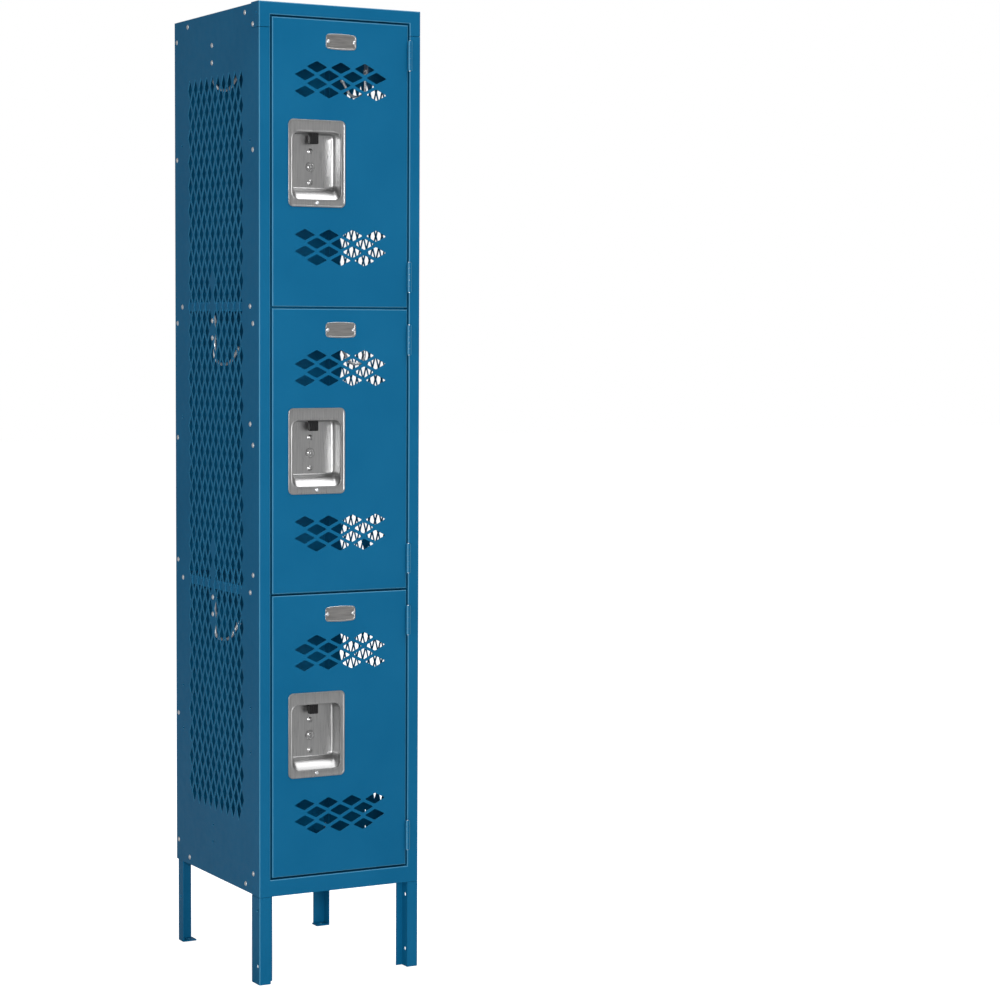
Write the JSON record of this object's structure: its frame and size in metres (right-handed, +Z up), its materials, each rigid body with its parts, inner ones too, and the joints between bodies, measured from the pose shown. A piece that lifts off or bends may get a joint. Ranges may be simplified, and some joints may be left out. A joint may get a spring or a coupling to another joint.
{
  "type": "three-tier storage locker",
  "caption": "Tall narrow ventilated steel locker on legs, with stacked hinged doors, recessed lift handles, shelves and coat hooks.",
  "frame": {"origin": "centre of the footprint on the floor, hinge barrels and back included", "axes": "+Z up, doors face -Y, +X to the right of a person facing the doors, the hinge side"},
  "size_m": [0.3088, 0.3886, 1.6764],
  "materials": {
    "blue_paint": "satin powder coat with a fine orange peel",
    "stainless": "drawn stainless, fine brushed",
    "zinc_plate": "bright zinc plate",
    "aluminium": "satin",
    "black_plastic": "moulded, fine texture",
    "black_rubber": "matt"
  },
  "bodies": {
    "cabinet": {"right_upright": "blue_paint", "left_upright": "blue_paint", "top_rail": "blue_paint", "bottom_rail": "blue_paint", "upper_cross_member": "blue_paint", "lower_cross_member": "blue_paint", "front_right_leg": "blue_paint", "front_left_leg": "blue_paint", "rear_right_leg": "blue_paint", "rear_left_leg": "blue_paint", "right_side_panel": "blue_paint", "left_side_panel": "blue_paint", "back_panel": "blue_paint", "back_flanges": "blue_paint", "top_panel": "blue_paint", "upper_shelf": "blue_paint", "lower_shelf": "blue_paint", "bottom_panel": "blue_paint", "frame_catches": "blue_paint", "side_bolts": "zinc_plate", "side_nuts": "zinc_plate", "hinge_pins": "zinc_plate", "silencers": "black_rubber", "right_hook_1": "zinc_plate", "left_hook_1": "zinc_plate", "frame_hinge_leaves_1": "blue_paint", "right_hook_2": "zinc_plate", "left_hook_2": "zinc_plate", "frame_hinge_leaves_2": "blue_paint", "right_hook_3": "zinc_plate", "left_hook_3": "zinc_plate", "frame_hinge_leaves_3": "blue_paint"},
    "door_1": {"door_panel_1": "blue_paint", "number_plate_1": "aluminium", "plate_rivets_1": "zinc_plate", "handle_pan_1": "stainless", "pan_screw_1": "zinc_plate", "latch_guides_1": "blue_paint", "door_hinge_leaves_1": "blue_paint"},
    "lift_1": {"latch_bar_1": "zinc_plate", "lift_trigger_1": "black_plastic"},
    "door_2": {"door_panel_2": "blue_paint", "number_plate_2": "aluminium", "plate_rivets_2": "zinc_plate", "handle_pan_2": "stainless", "pan_screw_2": "zinc_plate", "latch_guides_2": "blue_paint", "door_hinge_leaves_2": "blue_paint"},
    "lift_2": {"latch_bar_2": "zinc_plate", "lift_trigger_2": "black_plastic"},
    "door_3": {"door_panel_3": "blue_paint", "number_plate_3": "aluminium", "plate_rivets_3": "zinc_plate", "handle_pan_3": "stainless", "pan_screw_3": "zinc_plate", "latch_guides_3": "blue_paint", "door_hinge_leaves_3": "blue_paint"},
    "lift_3": {"latch_bar_3": "zinc_plate", "lift_trigger_3": "black_plastic"}
  },
  "joints": [
    {"name": "door_1_hinge", "type": "hinge", "parent": "cabinet", "child": "door_1", "pos_m": [0.1298, -0.1903, 1.4078], "axis": [0, 0, 1], "range_deg": [0, 170]},
    {"name": "lift_1_slide", "type": "slide", "parent": "door_1", "child": "lift_1", "axis": [0, 0, 1], "range_m": [0, 0.012], "stiffness_N_per_m": 40, "springref_m": -0.01},
    {"name": "door_2_hinge", "type": "hinge", "parent": "cabinet", "child": "door_2", "pos_m": [0.1298, -0.1903, 0.9178], "axis": [0, 0, 1], "range_deg": [0, 170]},
    {"name": "lift_2_slide", "type": "slide", "parent": "door_2", "child": "lift_2", "axis": [0, 0, 1], "range_m": [0, 0.012], "stiffness_N_per_m": 40, "springref_m": -0.01},
    {"name": "door_3_hinge", "type": "hinge", "parent": "cabinet", "child": "door_3", "pos_m": [0.1298, -0.1903, 0.4278], "axis": [0, 0, 1], "range_deg": [0, 170]},
    {"name": "lift_3_slide", "type": "slide", "parent": "door_3", "child": "lift_3", "axis": [0, 0, 1], "range_m": [0, 0.012], "stiffness_N_per_m": 40, "springref_m": -0.01}
  ]
}
